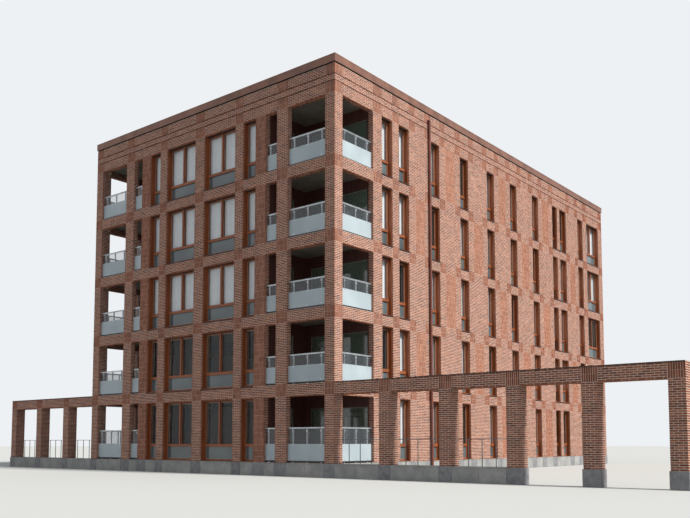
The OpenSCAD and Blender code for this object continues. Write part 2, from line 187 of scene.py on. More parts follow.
# Glazing: alpha lets the room show through, the rest is tint and reflection; float glass is never quite flat.
# A coated pane reflects more than bare glass, which a higher IOR gives
def glassMaterial(name, dark, pale, alpha, roughness, ior=1.52):
    material, tree, shader, place = newMaterial(name, Roughness=roughness, IOR=ior, Alpha=alpha)
    ripple, base = toneNoise(tree, place, dark, pale, 0.15, {"Scale": 0.8, "Detail": 1.0})
    cover(tree, shader, (base, "Color"), ripple, 0.04, 0.01)
    return material


finishes = {
    "brick": brickMaterial("firedBrick", ["#8e5945", "#7f4e3d", "#9c664f", "#855542", "#935c45",
                                          "#734737", "#a26c53", "#8b5643", "#825341", "#966048"]),
    "soldier": brickMaterial("uprightBrick", ["#8a533e", "#7d4936", "#945c45", "#834f3b", "#774634",
                                              "#8f573f", "#874f38", "#986047"]),
    "panelBrick": brickMaterial("orangeBrick", ["#9c654d", "#905a43", "#a56d54", "#965f48", "#8a5641",
                                                "#9f6850", "#986047", "#a87158"]),
    "mortar": stoneMaterial("limeMortar", "#dccdbf", "#ece0d5", 0.3, 0.012, 0.95, 0.002),
    "granite": stoneMaterial("flamedGranite", "#91918f", "#aaa9a6", 0.5, 0.012, 0.8, 0.002, 0.05),
    "darkGranite": stoneMaterial("splitGranite", "#7d7d7e", "#969597", 0.2, 0.016, 0.9, 0.006, 0.07),
    "graniteBed": stoneMaterial("graniteBed", "#565657", "#6c6c6c", 0.4, 0.01, 0.9, 0.002),
    "concrete": stoneMaterial("boardMarkedConcrete", "#6f6a61", "#88827a", 0.9, 0.02, 0.85, 0.001),
    "felt": stoneMaterial("mineralFelt", "#505155", "#66676b", 0.8, 0.006, 0.95, 0.001, 0.06),
    "wood": woodMaterial("oiledHardwood", "#6e361c", "#a15b30", 0.5),
    "doorWood": woodMaterial("stainedHardwood", "#3c221a", "#563226", 0.5),
    "board": woodMaterial("stainedBoard", "#3d1d18", "#582e26", 0.6),
    "deck": woodMaterial("greyedDeckBoard", "#5f564c", "#857a6c", 0.8),
    "fascia": metalMaterial("brownedCopperSheet", "#704c40", "#865e4c", 0.25, 0.5, 0.5),
    "flashing": metalMaterial("darkFoldedSheet", "#2b2322", "#3a302d", 0.3, 0.45, 0.3),
    # Painted shadow: a black finish for sheets put where the window heads, the grooves and the roof edge's
    # gap lie in shade
    "shadow": metalMaterial("paintedShadowSheet", "#151211", "#1f1b1a", 0.0, 0.9, 0.3),
    "aluminium": metalMaterial("anodisedAluminium", "#b9bec2", "#d0d5d9", 0.6, 0.35, 0.2),
    "steel": metalMaterial("galvanisedSteel", "#55585b", "#6c7073", 0.6, 0.45, 0.05),
    "pipe": metalMaterial("paintedPipe", "#623428", "#743f31", 0.1, 0.45, 0.2),
    "bead": metalMaterial("glazingBead", "#8d8780", "#a8a29a", 0.3, 0.4, 0.2),
    "blind": stoneMaterial("lacqueredSlat", "#eaf0f5", "#f4f8fb", 0.4, 0.02, 0.6, 0.0005, 0.04),
    "glass": glassMaterial("windowGlass", "#4a5a5c", "#5a6a6d", 0.06, 0.03, 3.6),
    "loggiaGlass": glassMaterial("doorGlass", "#7d9384", "#92a797", 0.35, 0.05, 2.2),
    "panel": glassMaterial("enamelledGlass", "#525b5e", "#636d70", 1.0, 0.08, 1.6),
    "frosted": glassMaterial("frostedGlass", "#b0bdc3", "#bdcad0", 0.86, 0.45),
    "clear": glassMaterial("clearGlass", "#39444a", "#444f55", 0.2, 0.04, 2.4),
}
sides = ("front", "right", "left", "back")
nodeFinishes = {
    "mortar": ["front_wall", "right_side_wall", "left_side_wall", "back_wall", "right_loggia_piers",
               "right_loggia_bands", "left_loggia_piers", "left_loggia_bands", "colonnade_piers",
               "right_colonnade_beam", "left_colonnade_beam"],
    "graniteBed": ["granite_plinth", "right_colonnade_granite", "left_colonnade_granite"],
    "concrete": ["ground_slab", "floor_slabs", "roof_slab"],
    "felt": ["roof_covering"],
    "board": ["loggia_back_walls", "loggia_side_walls"],
    "fascia": ["front_fascia", "back_fascia", "side_fascias"],
    "wood": [side + "_window_frames" for side in sides],
    "doorWood": ["loggia_door_frames"],
    "glass": [side + "_window_glass" for side in sides],
    "loggiaGlass": ["loggia_door_glass"],
    "panel": [side + "_window_panels" for side in sides],
    "aluminium": ["balustrade_rails", "balustrade_posts"],
    "frosted": ["balustrade_frosted_glass"],
    "clear": ["balustrade_clear_glass"],
    "steel": ["colonnade_railings"],
    "pipe": ["downpipes"],
}


def paint(piece, finish):
    piece.data.materials.clear()
    piece.data.materials.append(finishes[finish])


for finish, names in nodeFinishes.items():
    for name in names:
        paint(nodes[name], finish)
print("stage: materials on", len(nodes), "nodes")


# Making and placing pieces

def pick(piece):
    bpy.ops.object.select_all(action="DESELECT")
    piece.select_set(True)
    bpy.context.view_layer.objects.active = piece


def copyOf(piece):
    twin = piece.copy()
    twin.data = piece.data.copy()
    scene.collection.objects.link(twin)
    return twin


def joinAll(pieces, name=None):
    pick(pieces[0])
    for piece in pieces[1:]:
        piece.select_set(True)
    if len(pieces) > 1:
        bpy.ops.object.join()
    if name:
        pieces[0].name = name
    return pieces[0]


def shift(piece, x=0.0, y=0.0, z=0.0):
    piece.data.transform(Matrix.Translation((x, y, z)))
    return piece


# One copy at each offset, joined; the model itself goes
def placeCopies(model, offsets, name=None):
    twins = [shift(copyOf(model), *offset) for offset in offsets]
    bpy.data.objects.remove(model)
    return joinAll(twins, name)


# Repeats a piece along one way
def repeat(piece, count, step):
    if count > 1:
        pick(piece)
        array = piece.modifiers.new("row", "ARRAY")
        array.count = count
        array.use_relative_offset = False
        array.use_constant_offset = True
        array.constant_offset_displace = step
        bpy.ops.object.modifier_apply(modifier=array.name)
    return piece


# Sets a piece that was drawn along +X, facing -Y, against its wall: tipped, turned and moved
def setDown(piece, turn, corner, tip=0.0):
    turned = Matrix.Rotation(turn, 4, "Z") @ Matrix.Rotation(tip, 4, "X")
    piece.data.transform(Matrix.Translation(corner) @ turned)
    return piece


# A finished piece: its material and its body
def complete(piece, finish):
    paint(piece, finish)
    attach(piece, "root")


# Joins and completes the pieces of each finish; kinds gives their name and slot
def completeKinds(parts, kinds, prefix="", turn=0.0, corner=(0, 0, 0)):
    for finish, (name, slot) in kinds.items():
        complete(setDown(joinAll(parts[finish], prefix + name), turn, corner), finish)


# Gives the active piece its place, turn and size for good
def settle():
    bpy.ops.object.transform_apply(location=True, rotation=True, scale=True)


# Edit mode on the active piece, with everything selected or nothing
def startEdit(action="SELECT"):
    bpy.ops.object.mode_set(mode="EDIT")
    bpy.ops.mesh.select_all(action=action)


def endEdit():
    bpy.ops.object.mode_set(mode="OBJECT")


# A plate between two corners with its arrises taken off
def makePlate(name, low, high, arris=0.002):
    size = [b - a for a, b in zip(low, high)]
    bpy.ops.mesh.primitive_cube_add(size=1, location=[(a + b) / 2 for a, b in zip(low, high)], scale=size)
    plate = bpy.context.object
    plate.name = name
    settle()
    startEdit()
    bpy.ops.mesh.bevel(offset=arris, segments=1)
    endEdit()
    return plate


# An upright sheet of one face, facing -Y
def makeSheet(name, width, height):
    bpy.ops.mesh.primitive_plane_add(size=1, location=(width / 2, 0, height / 2), rotation=(quarter, 0, 0))
    sheet = bpy.context.object
    sheet.name = name
    sheet.scale = (width, height, 1)
    settle()
    return sheet


# A flat ring of bars that stands up from Y = 0 towards -Y
def makeRing(name, width, height, bar, depth):
    ring = makeSheet(name, width, height)
    startEdit()
    bpy.ops.mesh.inset(thickness=bar)
    bpy.ops.mesh.delete(type="ONLY_FACE")
    bpy.ops.mesh.select_all(action="SELECT")
    bpy.ops.mesh.extrude_region_move(TRANSFORM_OT_translate={"value": (0, -depth, 0)})
    endEdit()
    return ring


# Takes out the faces that look into the wall
def dropBacks(piece):
    pick(piece)
    bpy.ops.object.mode_set(mode="EDIT")
    bpy.ops.mesh.select_mode(type="FACE")
    bpy.ops.mesh.select_all(action="DESELECT")
    endEdit()
    for face in piece.data.polygons:
        face.select = face.normal.y > 0.5
    bpy.ops.object.mode_set(mode="EDIT")
    bpy.ops.mesh.delete(type="ONLY_FACE")
    bpy.ops.mesh.select_mode(type="VERT")
    endEdit()
    return piece


# Brickwork; positions along a wall are counted in half bricks, all else in metres

brickwork = {
    "half": 0.12,
    "course": 0.2 / 3,
    "joint": 0.012,
    "proud": 0.003,         # brick face in front of the mortar
    "draft": 0.001,         # worn arris
    "sideJoint": 0.009,     # between upright bricks
    "rowJoint": 0.004,      # thin joint between their rows
    "grooveUp": 0.01,       # what a groove takes off the course above it, and below it
    "grooveDown": 0.006,
    "footZ": 0.52,          # top of the granite
    "groundCourses": 38,
    "openCourses": 36,
    "bandCourses": 7,
    "atticCourses": 17,
    "eavesCourses": 6,      # above the upper groove
    "storeys": 5,
    "casingSet": 0.05,      # brick face to the window casing
    "grid": 0.228,          # depth of the grid in front of a loggia
    "woven": 4,             # edge of a wide pier on both sides of its panel
    "widePier": 12,         # from this width on, a pier has a panel
    "panelRow": 0.24,
    "least": 0.03,          # shorter bits of brick are left out
    "near": 0.004,          # how near an end a vertex is part of it
}
frontHalf = [4, 16, 5, 5, 5, 6, 4, 16]      # pier, opening, pier, opening ...
frontBays = frontHalf + [5] + frontHalf[::-1]
sideBays = [4, 16, 5, 6, 4, 6, 14, 6, 15, 6, 15, 6, 14, 6, 15, 6, 15, 15, 14, 6, 5, 15, 5]

half, course, joint, proud = (brickwork[key] for key in ("half", "course", "joint", "proud"))
footZ, grid, storeys = brickwork["footZ"], brickwork["grid"], brickwork["storeys"]
blockW = sum(frontBays) * half - joint
blockD = sum(sideBays) * half - joint
frontY = -blockD / 2
bandH = brickwork["bandCourses"] * course
openH = brickwork["openCourses"] * course
groundH = brickwork["groundCourses"] * course
heads = [footZ + groundH + s * (openH + bandH) for s in range(storeys)]
floors = [footZ] + [head + bandH for head in heads[:-1]]
eavesZ = heads[-1] + brickwork["atticCourses"] * course
grooves = [heads[-1] + bandH, eavesZ - brickwork["eavesCourses"] * course]
loggiaW, loggiaD = 30 * half, 20 * half
slabT = 0.22
storeyKinds = [(groundH, [0]), (openH, range(1, storeys))]      # clear height, storeys that have it

elevations = {
    "front": {"bays": frontBays, "turn": 0.0, "corner": (-blockW / 2, frontY, 0),
              "windows": range(2, 6), "upright": [2, 6], "panel": "soldier"},
    "right": {"bays": sideBays, "turn": quarter, "corner": (blockW / 2, frontY, 0),
              "windows": range(1, 11), "upright": [], "panel": "panelBrick"},
    "back": {"bays": frontBays, "turn": 2 * quarter, "corner": (blockW / 2, blockD / 2, 0),
             "windows": range(8), "upright": [2, 6], "panel": "soldier"},
    "left": {"bays": sideBays[::-1], "turn": -quarter, "corner": (-blockW / 2, blockD / 2, 0),
             "windows": range(10), "upright": [], "panel": "panelBrick"},
}


# Piers and openings of each layout, as (start, end) in half bricks, and its whole length
for plan in elevations.values():
    marks = [sum(plan["bays"][:i]) for i in range(len(plan["bays"]) + 1)]
    plan["piers"], plan["openings"] = list(zip(marks[0::2], marks[1::2])), list(zip(marks[1::2], marks[2::2]))
    plan["halves"], plan["length"] = marks[-1], marks[-1] * half - joint


# One brick face: a sheet drawn out by the depth of the joint, a little smaller at its face
def makeSlip(name, length, height):
    draft = brickwork["draft"]
    slip = makeSheet(name, length, height)
    startEdit()
    bpy.ops.mesh.extrude_region_move(TRANSFORM_OT_translate={"value": (0, -proud, 0)})
    bpy.ops.transform.resize(value=(1 - 2 * draft / length, 1, 1 - 2 * draft / height),
                             center_override=(length / 2, -proud, height / 2))
    endEdit()
    return dropBacks(slip)


# Cuts the bricks of a field at its ends and at each hole, and takes out those inside a hole
def cutField(field, width, height, holes):
    mesh = field.data
    flat = np.empty(len(mesh.vertices) * 3, np.float32)
    mesh.vertices.foreach_get("co", flat)
    bricks = flat.reshape(-1, 8, 3)
    low, high = bricks[:, :, 0].min(1), bricks[:, :, 0].max(1)
    middle = (bricks[:, :, 2].min(1) + bricks[:, :, 2].max(1)) / 2
    newLow, newHigh = low.copy(), high.copy()
    gone = middle > height
    beyond = [(-math.inf, 0, -math.inf, math.inf), (width, math.inf, -math.inf, math.inf)]
    for left, right, bottom, top in beyond + list(holes):
        level = (middle > bottom) & (middle < top)
        newHigh = np.where(level & (low < left) & (high > left), np.minimum(newHigh, left), newHigh)
        newLow = np.where(level & (high > right) & (low < right), np.maximum(newLow, right), newLow)
        gone |= level & (low >= left - 1e-4) & (high <= right + 1e-4)
    gone |= newHigh - newLow < brickwork["least"]
    share = (newHigh - newLow) / (high - low)
    bricks[:, :, 0] = newLow[:, None] + (bricks[:, :, 0] - low[:, None]) * share[:, None]
    mesh.vertices.foreach_set("co", bricks.ravel())
    pick(field)
    startEdit("DESELECT")
    endEdit()
    mesh.vertices.foreach_set("select", np.repeat(gone, 8))
    bpy.ops.object.mode_set(mode="EDIT")
    bpy.ops.mesh.delete(type="VERT")
    endEdit()


# A face in stretcher bond; every other course starts half a brick back
def layStretchers(name, halves, height, holes=(), step=half, rise=course):
    slip = makeSlip(name, 2 * step - joint, rise - joint)
    field = joinAll([slip, shift(copyOf(slip), x=-step, z=rise)])
    repeat(field, math.ceil(halves / 2) + 1, (2 * step, 0, 0))
    repeat(field, math.ceil(height / rise / 2), (0, 0, 2 * rise))
    cutField(field, halves * step - joint, height, holes)
    return field


# A patch of upright bricks
def layUprights(name, halves, height, rows):
    width = halves * half
    count = round(width / course)
    slip = makeSlip(name, width / count - brickwork["sideJoint"], height / rows - brickwork["rowJoint"])
    repeat(slip, count, (width / count, 0, 0))
    return repeat(slip, rows, (0, 0, height / rows))


# The short bricks on one side of a window
def layJamb(height):
    slip = makeSlip("jamb", brickwork["casingSet"], course - joint)
    return repeat(slip, round(height / course), (0, 0, course))


# The bricks at the low end of a face, at its high end or at both, reach over the next face
def coverCorner(field, low=0.0, high=math.inf):
    for vertex in field.data.vertices:
        if vertex.co.x < low + brickwork["near"]:
            vertex.co.x -= proud
        elif vertex.co.x > high - brickwork["near"]:
            vertex.co.x += proud
    return field


# Draws the bricks back from the two grooves
def openGrooves(piece):
    for vertex in piece.data.vertices:
        for groove in grooves:
            above = vertex.co.z - groove
            if abs(above) < brickwork["near"] / 2:
                vertex.co.z = groove + brickwork["grooveUp"]
            elif -joint - brickwork["near"] < above < 0:
                vertex.co.z = groove - joint - brickwork["grooveDown"]


# A hole in a field of bricks: half bricks along the wall, metres above the ground
def holeAt(start, end, low, high):
    return start * half - joint, end * half, low - footZ, high - footZ


# Stretchers over a whole elevation, with upright patches where a pier crosses a band
def layElevation(side, plan):
    woven, panels = [], []
    edge, wideNumber = brickwork["woven"], 0
    for number, (start, end) in enumerate(plan["piers"]):
        if number in plan["upright"]:
            panels += [(start, end, s) for s in range(storeys)]
        elif end - start >= brickwork["widePier"]:
            wideNumber += 1
            woven += [(start, start + edge), (end - edge, end)]
            panels += [(start + edge, end - edge, s) for s in range(storeys) if (wideNumber + s) % 2 == 0]
        else:
            woven.append((start, end))
    crossings = [(head, head + bandH) for head in heads] + [(grooves[1], eavesZ)]
    holes = [holeAt(*opening, floors[s], heads[s]) for opening in plan["openings"] for s in range(storeys)]
    holes += [holeAt(*pier, *crossing) for pier in woven for crossing in crossings]
    holes += [holeAt(start, end, floors[s], heads[s]) for start, end, s in panels]
    field = coverCorner(layStretchers(side + "Stretchers", plan["halves"], eavesZ - footZ, holes))
    shift(field, z=footZ)
    patches, infills = [], []
    for wide in sorted({end - start for start, end in woven}):
        starts = [start * half for start, end in woven if end - start == wide]
        for height, feet in ((bandH, heads), (eavesZ - grooves[1], [grooves[1]])):
            patch = layUprights("patch", wide, height, 2)
            patches.append(placeCopies(patch, [(x, 0, z) for x in starts for z in feet]))
    for start, end, s in panels:
        height = heads[s] - floors[s]
        infill = layUprights("panel", end - start, height, round(height / brickwork["panelRow"]))
        infills.append(shift(infill, start * half, 0, floors[s]))
    uprights = coverCorner(joinAll(patches, side + "Uprights"))
    panel = joinAll(infills, side + "Panels")
    for piece, finish in ((field, "brick"), (uprights, "soldier"), (panel, plan["panel"])):
        openGrooves(piece)
        complete(setDown(piece, plan["turn"], plan["corner"]), finish)
    return sum(len(piece.data.polygons) for piece in (field, uprights, panel))


for side, plan in elevations.items():
    print("stage:", side, "bricks,", layElevation(side, plan) // 5)


# The sides and undersides of the openings
def layReveals(side, plan):
    total, casingSet = plan["halves"] * half, brickwork["casingSet"]
    parts = []
    for number, (start, end) in enumerate(plan["openings"]):
        left, right = start * half - joint, end * half
        isWindow = number in plan["windows"]
        for height, levels in storeyKinds:
            for edge, turn in ((left, quarter), (right, -quarter)):
                if isWindow:
                    depth, column = casingSet, layJamb(height)
                else:
                    atCorner = edge < 5 * half or edge > total - 5 * half
                    depth = 4 * half - joint if atCorner else grid
                    column = layStretchers("jamb", 4 if atCorner else 2, height)
                coverCorner(column, *((0.0, math.inf) if turn > 0 else (-math.inf, depth)))
                setDown(column, turn, (edge, 0 if turn > 0 else depth, 0))
                parts.append(placeCopies(column, [(0, 0, floors[s]) for s in levels]))
        if isWindow:
            depth, count = casingSet, round((end - start) / 2)
            step = (end - start) * half / count
            soffit = repeat(makeSlip("head", step - joint, depth - 0.002), count, (step, 0, 0))
        else:
            depth, soffit = grid, layStretchers("head", end - start, grid, (), half, half)
        setDown(soffit, 0.0, (left + joint, depth, 0), quarter)
        parts.append(placeCopies(soffit, [(0, 0, head) for head in heads]))
    complete(setDown(joinAll(parts, side + "Reveals"), plan["turn"], plan["corner"]), "brick")


for side, plan in elevations.items():
    layReveals(side, plan)
print("stage: reveals")


# The inner face of the grid, seen from inside a loggia
def layGridBacks():
    parts = []
    top = heads[-1] + bandH - slabT - footZ
    slabs = [(-math.inf, math.inf, floor - slabT - footZ, floor - footZ) for floor in floors[1:]]
    runs = [  # halves, openings, turn, corner
        (26, [(0, 5), (10, 26)], 2 * quarter, (-blockW / 2 + loggiaW - joint, frontY + grid, 0)),
        (26, [(0, 16), (21, 26)], 2 * quarter, (blockW / 2 - 4 * half, frontY + grid, 0)),
        (16, [(0, 16)], quarter, (-blockW / 2 + grid, frontY + 4 * half, 0)),
        (16, [(0, 16)], -quarter, (blockW / 2 - grid, frontY + loggiaD - joint, 0)),
    ]
    for halves, openings, turn, corner in runs:
        holes = [holeAt(*opening, floors[s], heads[s]) for opening in openings for s in range(storeys)]
        field = shift(layStretchers("gridBack", halves, top, holes + slabs), z=footZ)
        parts.append(setDown(field, turn, corner))
    complete(joinAll(parts, "gridBacks"), "brick")


layGridBacks()


# Colonnade

colonnade = {
    "side": 0.468,
    "pitch": 2.465,
    "firstBay": 2.03,
    "rightBays": 5,
    "leftBays": 3,
    "walledBays": 3,
    "capOut": 0.02,
    "capT": 0.012,
    "capGap": 0.003,
    "capLength": 2.0,
    "drip": 0.02,
    "dripT": 0.008,
    "dripUp": 0.004,
}
columnS, pitch = colonnade["side"], colonnade["pitch"]
beamZ = footZ + groundH
rightColumns = [blockW / 2 + colonnade["firstBay"] + n * pitch for n in range(colonnade["rightBays"])]
leftColumns = [-blockW / 2 - (n + 1) * pitch for n in range(colonnade["leftBays"])][::-1]
beams = {"right": (blockW / 2, rightColumns[-1] + columnS, rightColumns),
         "left": (leftColumns[0], -blockW / 2, leftColumns)}


# The open stretches of a beam between its columns
def gapsOf(start, end, columns):
    edges = [start] + [edge for x in columns for edge in (x, x + columnS)] + [end]
    return [(a, b) for a, b in zip(edges[0::2], edges[1::2]) if b - a > 0.1]


# A face that fills a gap: the bond is drawn out or in a little to come out whole
def layGap(start, end, height, rise=course):
    count = round((end - start - joint) / half)
    step = (end - start - joint) / count
    return shift(layStretchers("gap", count, height, (), step, rise), x=start + joint)


def layColonnade():
    faces = []
    for number, corner in enumerate(((0, 0), (columnS, 0), (columnS, columnS), (0, columnS))):
        faces.append(setDown(coverCorner(layStretchers("face", 4, groundH)), number * quarter, (*corner, 0)))
    feet = [(x, frontY, footZ) for x in leftColumns + rightColumns]
    complete(placeCopies(joinAll(faces), feet, "columnBricks"), "brick")
    bond, patches = [], []
    for start, end, columns in beams.values():
        for a, b in gapsOf(start, end, columns):
            front = layGap(a, b, bandH)
            back = setDown(layGap(-b, -a, bandH), 2 * quarter, (0, columnS, 0))
            under = setDown(layGap(a, b, columnS, half), 0, (0, columnS, 0), quarter)
            bond += [front, back, under]
        patch = layUprights("patch", 4, bandH, 2)
        behind = setDown(copyOf(patch), 2 * quarter, (columnS, columnS, 0))
        patches.append(placeCopies(joinAll([patch, behind]), [(x, 0, 0) for x in columns]))
    for turn, corner in ((quarter, (beams["right"][1], 0, 0)), (-quarter, (beams["left"][0], columnS, 0))):
        face = coverCorner(layStretchers("end", 4, bandH), 0.0, 4 * half - joint)
        bond.append(setDown(face, turn, corner))
    for part, name, finish in ((bond, "beamStretchers", "brick"), (patches, "beamUprights", "soldier")):
        complete(shift(joinAll(part, name), 0, frontY, beamZ), finish)


# A folded cap in lengths, with a drip on both sides
def capBeams():
    out, gap = colonnade["capOut"], colonnade["capGap"]
    dripT, dripUp = colonnade["dripT"], colonnade["dripUp"]
    caps = []
    for start, end, _ in beams.values():
        count = round((end - start) / colonnade["capLength"])
        length = (end - start) / count
        parts = [makePlate("cap", (gap, -out, 0), (length - gap, columnS + out, colonnade["capT"]), 0.003)]
        for y in (-out, columnS + out - dripT):
            parts.append(makePlate("drip", (gap, y, -colonnade["drip"]), (length - gap, y + dripT, dripUp)))
        feet = [(start + n * length, frontY, beamZ + bandH) for n in range(count)]
        caps.append(placeCopies(joinAll(parts), feet))
    complete(joinAll(caps, "beamCaps"), "flashing")


layColonnade()
capBeams()
print("stage: colonnade")


# Granite facing: rough dark slabs under the piers, wide pale ones between

granite = {
    "out": 0.02,            # plinth in front of the brickwork
    "thick": 0.006,         # facing in front of its bed
    "rough": 0.012,
    "gap": 0.006,
    "longest": 1.6,
    "lift": 0.004,          # lower edge above the ground
    "capH": 0.035,          # pale sawn edge along the top
    "arris": 0.003,
    "roughArris": 0.005,
}


# Slabs over marks of (start, end, rough), drawn along +X with the bed at Y = 0
def laySlabs(marks, depth):
    parts = {"granite": [], "darkGranite": []}
    thick, rough, lift, arris = (granite[key] for key in ("thick", "rough", "lift", "arris"))
    gap, rise = granite["gap"] / 2, footZ - granite["capH"]
    for start, end, isRough in marks:
        if isRough:
            high = (end - gap, granite["out"], footZ + lift / 2)
            slab = makePlate("slab", (start + gap, -rough, lift), high, granite["roughArris"])
            parts["darkGranite"].append(slab)
        else:
            count = math.ceil((end - start) / granite["longest"])
            length = (end - start) / count
            slab = makePlate("slab", (gap, -thick, lift), (length - gap, 0.01, rise - gap), arris)
            feet = [(start + n * length, 0, 0) for n in range(count)]
            parts["granite"].append(placeCopies(slab, feet))
            edge = makePlate("edge", (start + gap, -rough, rise), (end - gap, depth, footZ + lift), arris)
            parts["granite"].append(edge)
    return {kind: joinAll(slabs) for kind, slabs in parts.items() if slabs}


def faceGranite():
    out, rough, edge = granite["out"], granite["rough"], brickwork["woven"]
    kinds = {"granite": [], "darkGranite": []}

    def keep(placed, turn, corner):
        for kind, slabs in placed.items():
            kinds[kind].append(setDown(slabs, turn, corner))

    for side, plan in elevations.items():
        feet = []
        for start, end in plan["piers"]:
            isWide = end - start >= brickwork["widePier"]
            feet += [(start, start + edge), (end - edge, end)] if isWide else [(start, end)]
        marks = [(start * half - joint - out, end * half + out, True) for start, end in feet]
        reach = out + (rough if side in ("front", "back") else 0)
        marks[0] = (-reach, marks[0][1], True)
        marks[-1] = (marks[-1][0], plan["length"] + reach, True)
        marks += [(a[1], b[0], False) for a, b in zip(marks, marks[1:])]
        placed = {kind: shift(slabs, y=-out) for kind, slabs in laySlabs(marks, out).items()}
        keep(placed, plan["turn"], plan["corner"])
    walled = rightColumns[:colonnade["walledBays"]]
    for start, end, columns in ((blockW / 2 + out, walled[-1] + columnS + out, walled),
                                (leftColumns[0] - out, -blockW / 2 - out, leftColumns)):
        marks = [(x - out, x + columnS + out, True) for x in columns]
        cuts = [start] + [cut for a, b, isRough in marks for cut in (a, b)] + [end]
        marks += [(a, b, False) for a, b in zip(cuts[0::2], cuts[1::2]) if b - a > 0.05]
        keep(laySlabs(marks, columnS + 2 * out + rough), 0.0, (0, frontY - out, 0))
        flipped = [(-b, -a, isRough) for a, b, isRough in marks]
        keep(laySlabs(flipped, 0.01), 2 * quarter, (0, frontY + columnS + out, 0))
    width = columnS + 2 * out
    corners = [(0, 0), (width, 0), (width, width), (0, width)]
    bases = [(x, (0, 1, 2, 3)) for x in rightColumns[colonnade["walledBays"]:]]
    for x, numbers in bases + [(walled[-1], (1,)), (leftColumns[0], (3,))]:
        for number in numbers:
            reach = rough if number in (1, 3) else 0
            placed = laySlabs([(-reach, width + reach, True)], out)
            corner = (x - out + corners[number][0], frontY - out + corners[number][1], 0)
            keep(placed, number * quarter, corner)
    completeKinds(kinds, {kind: (kind + "Slabs", "granite") for kind in kinds})


faceGranite()
print("stage: granite")


# Windows: caps on mullion and transom, a head lined with painted shade, beads, a folded sill, blinds behind
# the upper panes

windowParts = {
    "edge": 0.09,           # casing and sash
    "casing": 0.03,
    "sashY": 0.21,
    "panelTop": 0.62,
    "transom": 0.085,
    "mullionCap": (0.085, 0.06),    # width, how far it stands in front of the sash
    "transomCap": (0.125, 0.03),    # height, how far it stands in front of the sash
    "capLow": 0.6,
    "capFall": 0.01,
    # lining: thickness of the painted shade under the casing head
    "lining": 0.004,
    "glassY": 0.24,
    "bead": (0.014, 0.012),         # width, depth
    "sillGap": 0.003,
    "sillOut": 0.03,
    "sillLip": 0.03,
    "sillTop": 0.014,
    "sillFall": 0.008,
    "sillFold": 0.005,
    "slat": (0.115, 0.002),         # width, thickness
    "slatBow": 3.0,                 # rise over the square of the half width
    "slatStep": 0.105,
    "slatY": 0.33,
    "slatTurn": 10,                 # degrees
    "slatPlay": (0.012, 0.06),      # beside the outer slats, above and below all
}


# Sheet sill: falls to the front and is folded down over the brickwork
def makeSill(width):
    gap, out = windowParts["sillGap"], windowParts["sillOut"]
    sill = makePlate("sill", (gap, -out, 0.002),
                     (width - gap, brickwork["casingSet"] + 0.004, windowParts["sillTop"]), 0.002)
    for vertex in sill.data.vertices:
        if vertex.co.y < 0:
            vertex.co.z -= windowParts["sillFall"]
    fold = makePlate("fold", (gap, -out, -windowParts["sillLip"]),
                     (width - gap, windowParts["sillFold"] - out, 0.002), 0.0015)
    return joinAll([sill, fold])


# One slat, bowed across, hung at its angle
def makeSlat(height):
    width, thick = windowParts["slat"]
    bpy.ops.mesh.primitive_grid_add(x_subdivisions=3, y_subdivisions=1, size=1, rotation=(quarter, 0, 0))
    slat = bpy.context.object
    slat.scale = (width, height, 1)
    settle()
    for vertex in slat.data.vertices:
        vertex.co.y = windowParts["slatBow"] * vertex.co.x ** 2
    solid = slat.modifiers.new("thickness", "SOLIDIFY")
    solid.thickness = thick
    bpy.ops.object.modifier_apply(modifier=solid.name)
    slat.data.transform(Matrix.Rotation(math.radians(windowParts["slatTurn"]), 4, "Z"))
    return slat


# Caps in front of a sash: one over the transom and, between two lights, one over the mullion
def makeCaps(width, height, lights):
    inset, sashY, low = windowParts["casing"] + 0.001, windowParts["sashY"] + 0.002, windowParts["capLow"]
    capH, out = windowParts["transomCap"]
    cap = makePlate("cap", (inset, sashY - out, low), (width - inset, sashY, low + capH), 0.004)
    for vertex in cap.data.vertices:        # the top falls to the front
        if vertex.co.y < sashY - out / 2 and vertex.co.z > low + capH / 2:
            vertex.co.z -= windowParts["capFall"]
    caps = [cap]
    if lights > 1:
        capW, out = windowParts["mullionCap"]
        caps.append(makePlate("cap", ((width - capW) / 2, sashY - out, low + capH + 0.001),
                              ((width + capW) / 2, sashY, height - inset), 0.004))
    return joinAll(caps)


# A row of slats across a window, in metres from its lower left corner
def makeBlind(width, low, height):
    sidePlay, endPlay = windowParts["slatPlay"]
    run = width - windowParts["slat"][0] - sidePlay
    count = round(run / windowParts["slatStep"])
    row = repeat(makeSlat(height - low - endPlay), count + 1, (run / count, 0, 0))
    return shift(row, (width - run) / 2, windowParts["slatY"], (height + low) / 2)


